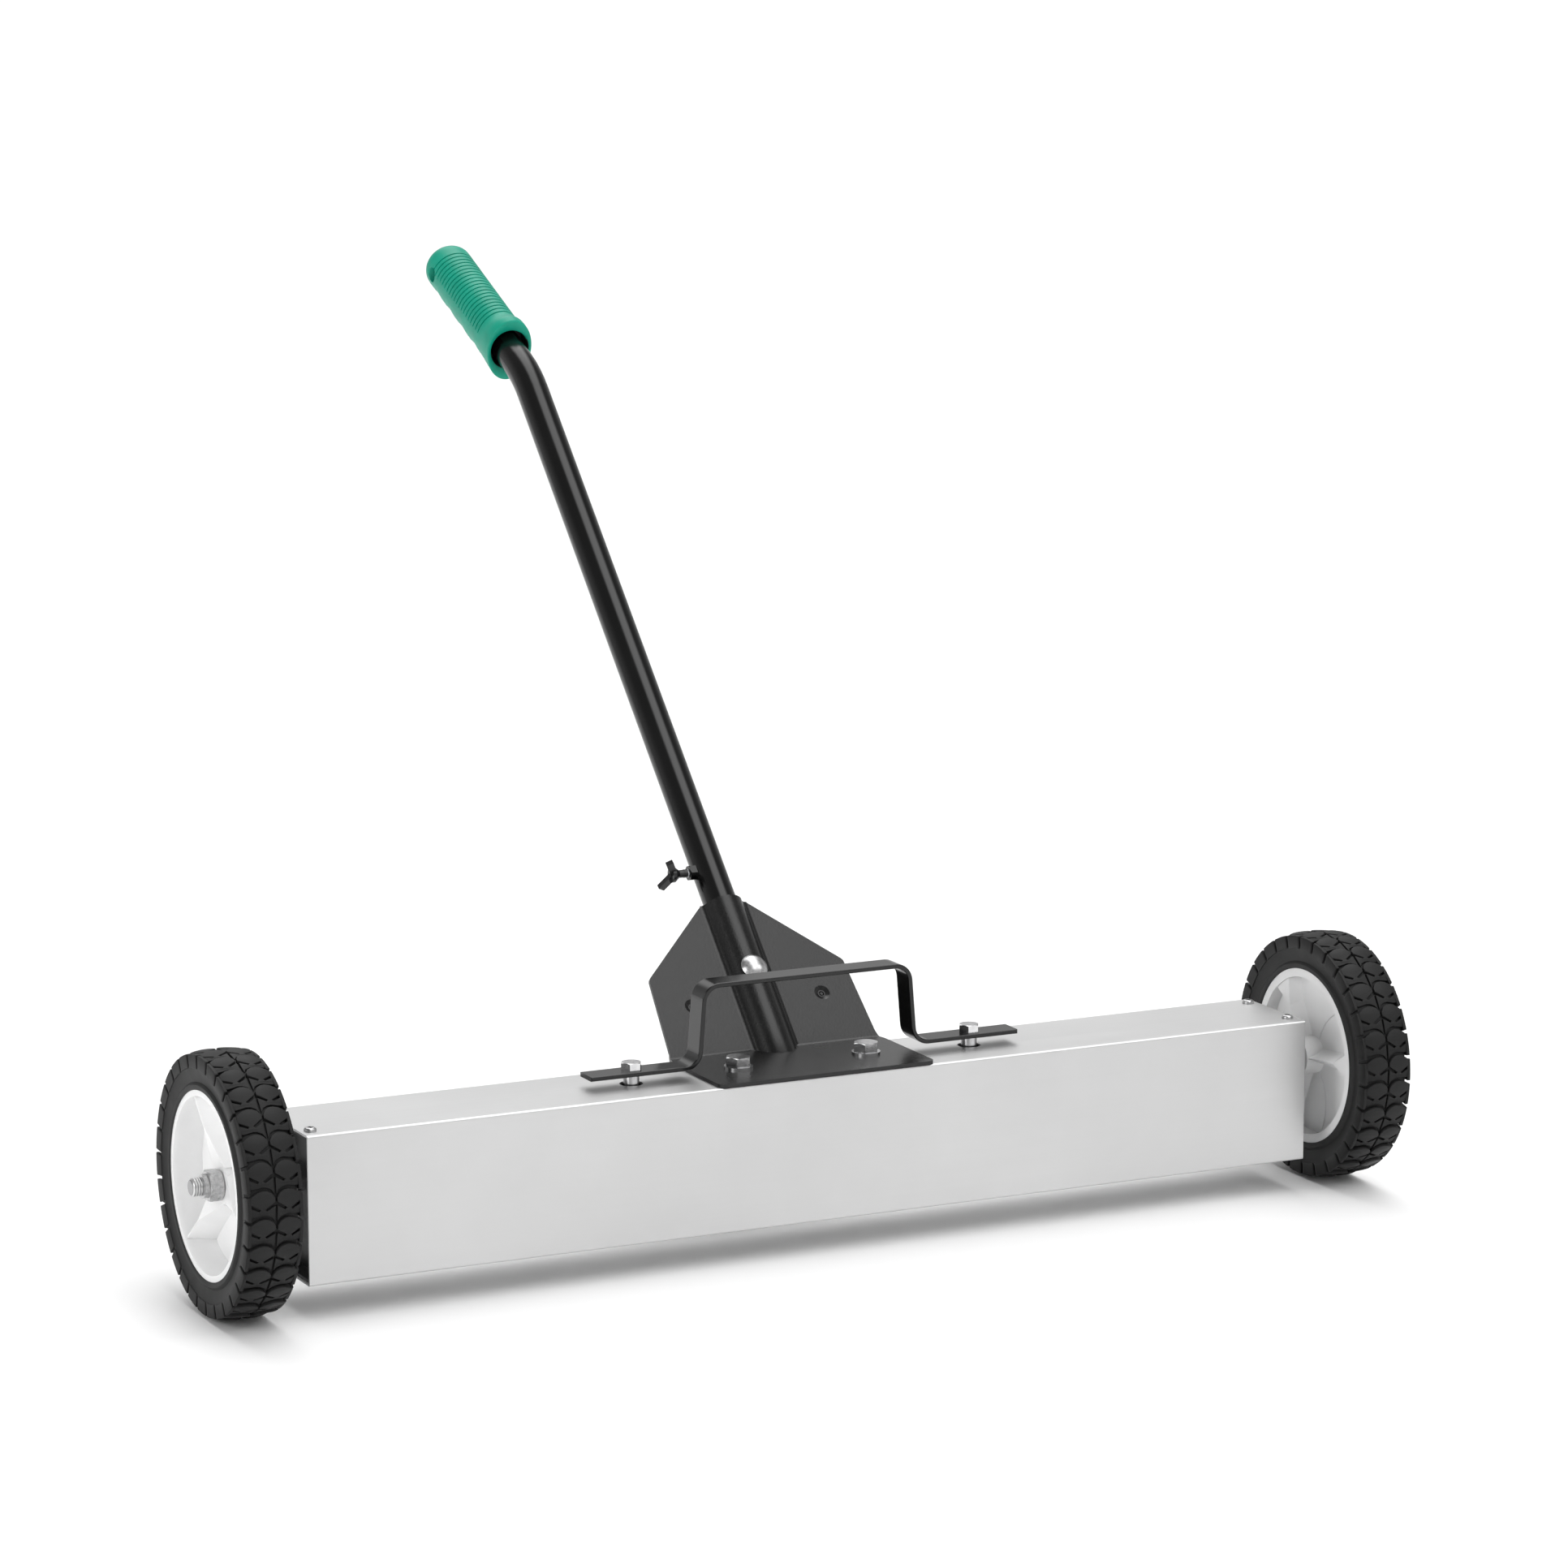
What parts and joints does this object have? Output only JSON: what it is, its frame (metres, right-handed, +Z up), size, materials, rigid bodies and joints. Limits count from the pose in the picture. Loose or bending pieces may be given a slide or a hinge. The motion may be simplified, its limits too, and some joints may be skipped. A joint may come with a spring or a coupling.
{
  "type": "magnetic nail sweeper",
  "caption": "Push-along magnetic nail sweeper: long sheet-aluminium housing over a lifting magnet tray, solid-tyred wheels, release strap and bent telescopic handle with a moulded grip.",
  "frame": {"origin": "on the floor, midway between the wheels and under the line of the axles", "axes": "+X along the axles towards the right-hand wheel as the sweeper is seen from the front, +Y horizontal towards the user, the way the handle leans, +Z up"},
  "size_m": [0.889, 0.7161, 0.6409],
  "materials": {
    "aluminium_sheet": "satin rolled sheet",
    "black_paint": "gloss powder coat",
    "black_cap": "satin powder coat",
    "zinc_steel": "bright zinc plate",
    "tyre_rubber": "matt solid rubber",
    "hub_plastic": "moulded white polypropylene",
    "grip_rubber": "soft green moulding",
    "collar_plastic": "black nylon",
    "tray_steel": "zinc plated sheet",
    "ferrite": "ground ferrite",
    "wing_screw_finish": "black plated head, bright thread"
  },
  "bodies": {
    "chassis": {"housing_shell": "aluminium_sheet", "left_end_cap": "black_cap", "right_end_cap": "black_cap", "end_cap_screws": "zinc_steel", "left_axle_bolt": "zinc_steel", "right_axle_bolt": "zinc_steel", "left_axle_nut": "zinc_steel", "right_axle_nut": "zinc_steel", "left_axle_spacer": "zinc_steel", "right_axle_spacer": "zinc_steel", "left_lock_nut": "zinc_steel", "right_lock_nut": "zinc_steel", "handle_bracket": "black_paint", "bracket_bolts": "zinc_steel", "bracket_washers": "zinc_steel", "bracket_nuts": "zinc_steel", "rear_saddle": "black_paint", "saddle_rivets": "zinc_steel", "carriage_bolt": "zinc_steel", "carriage_nut": "zinc_steel", "tube_collar": "collar_plastic", "inner_tube": "zinc_steel"},
    "release": {"release_handle": "black_paint", "release_bolts": "zinc_steel", "release_sleeves": "zinc_steel", "release_nuts": "zinc_steel", "magnet_tray": "tray_steel", "magnet_blocks": "ferrite"},
    "handle": {"handle_tube": "black_paint", "grip": "grip_rubber", "clamp_nut": "black_paint"},
    "clamp_screw": {"wing_screw": "wing_screw_finish"},
    "left_wheel": {"left_tyre": "tyre_rubber", "left_hub": "hub_plastic"},
    "right_wheel": {"right_tyre": "tyre_rubber", "right_hub": "hub_plastic"}
  },
  "joints": [
    {"name": "left_wheel_spin", "type": "hinge", "parent": "chassis", "child": "left_wheel", "pos_m": [-0.418, 0, 0.089], "axis": [1, 0, 0], "continuous": true},
    {"name": "right_wheel_spin", "type": "hinge", "parent": "chassis", "child": "right_wheel", "pos_m": [0.418, 0, 0.089], "axis": [1, 0, 0], "continuous": true},
    {"name": "release_lift", "type": "slide", "parent": "chassis", "child": "release", "axis": [0, 0, 1], "range_m": [0, 0.04]},
    {"name": "handle_extend", "type": "slide", "parent": "chassis", "child": "handle", "axis": [0, 0.6997, 0.7145], "range_m": [0, 0.3]},
    {"name": "clamp_screw_turn", "type": "hinge", "parent": "handle", "child": "clamp_screw", "pos_m": [0, 0.14909, 0.23257], "axis": [-1, 0, 0], "range_deg": [0, 720]}
  ]
}
